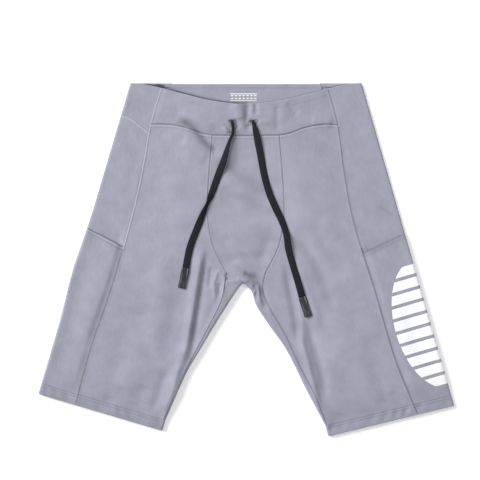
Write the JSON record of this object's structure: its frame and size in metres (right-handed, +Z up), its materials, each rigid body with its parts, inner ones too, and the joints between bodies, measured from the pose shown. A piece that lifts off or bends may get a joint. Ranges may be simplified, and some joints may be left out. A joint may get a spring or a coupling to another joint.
{
  "type": "padded shorts",
  "caption": "Close-fitting knit sports shorts lying flat, with side pockets, slim foam pads, a stitched waistband and a flat drawcord.",
  "frame": {"origin": "middle of the flat shorts' outline, on the surface they lie on", "axes": "+X towards the wearer's left across the shorts, +Y towards the waist, +Z up through the front; right_ and left_ names are the wearer's sides"},
  "size_m": [0.6226, 0.5274, 0.0167],
  "materials": {
    "knit": "smooth stretch knit with a soft sheen",
    "lining": "brushed inside of the same knit",
    "elastic": "ribbed woven elastic",
    "cord": "flat braid",
    "cord_tip": "shrunk clear sleeve over black braid",
    "foam": "matt closed-cell foam",
    "print": "thin satin transfer film"
  },
  "bodies": {
    "right_half": {"right_front_panel": "knit", "right_front_pouch": "knit", "right_crotch_gusset": "knit", "right_side_panel": "knit", "right_pocket_panel": "knit", "right_hem_band": "knit", "right_back_panel": "knit", "right_waistband_front": "knit", "right_waistband_facing": "lining", "right_waistband_back": "knit", "right_waistband_lining": "lining", "right_waist_elastic": "elastic", "right_buttonhole": "knit", "right_drawcord_run": "cord", "right_tailbone_pad": "foam", "right_tailbone_sleeve": "lining", "right_waistband_side": "knit"},
    "left_half": {"left_front_panel": "knit", "left_front_pouch": "knit", "left_crotch_gusset": "knit", "left_side_panel": "knit", "left_pocket_panel": "knit", "left_hem_band": "knit", "left_back_panel": "knit", "left_waistband_front": "knit", "left_waistband_facing": "lining", "left_waistband_back": "knit", "left_waistband_lining": "lining", "left_waist_elastic": "elastic", "left_buttonhole": "knit", "left_drawcord_run": "cord", "left_tailbone_pad": "foam", "left_tailbone_sleeve": "lining", "left_leg_print": "print"},
    "right_cord_end": {"right_drawcord_end": "cord", "right_cord_tip": "cord_tip"},
    "left_cord_end": {"left_drawcord_end": "cord", "left_cord_tip": "cord_tip"},
    "right_pad": {"right_thigh_pad": "foam"},
    "left_pad": {"left_thigh_pad": "foam"}
  },
  "joints": [
    {"name": "half_fold", "type": "hinge", "parent": "right_half", "child": "left_half", "pos_m": [0, 0, 0.0175], "axis": [0, -1, 0], "range_deg": [0, 172]},
    {"name": "right_cord_pull", "type": "slide", "parent": "right_half", "child": "right_cord_end", "axis": [-0.2876, -0.9578, 0], "range_m": [0, 0.035]},
    {"name": "left_cord_pull", "type": "slide", "parent": "left_half", "child": "left_cord_end", "axis": [0.2732, -0.962, 0], "range_m": [0, 0.035]},
    {"name": "right_pad_slide", "type": "slide", "parent": "right_half", "child": "right_pad", "axis": [0.284, 0.9588, 0], "range_m": [0, 0.175]},
    {"name": "left_pad_slide", "type": "slide", "parent": "left_half", "child": "left_pad", "axis": [-0.2756, 0.9613, 0], "range_m": [0, 0.175]}
  ]
}
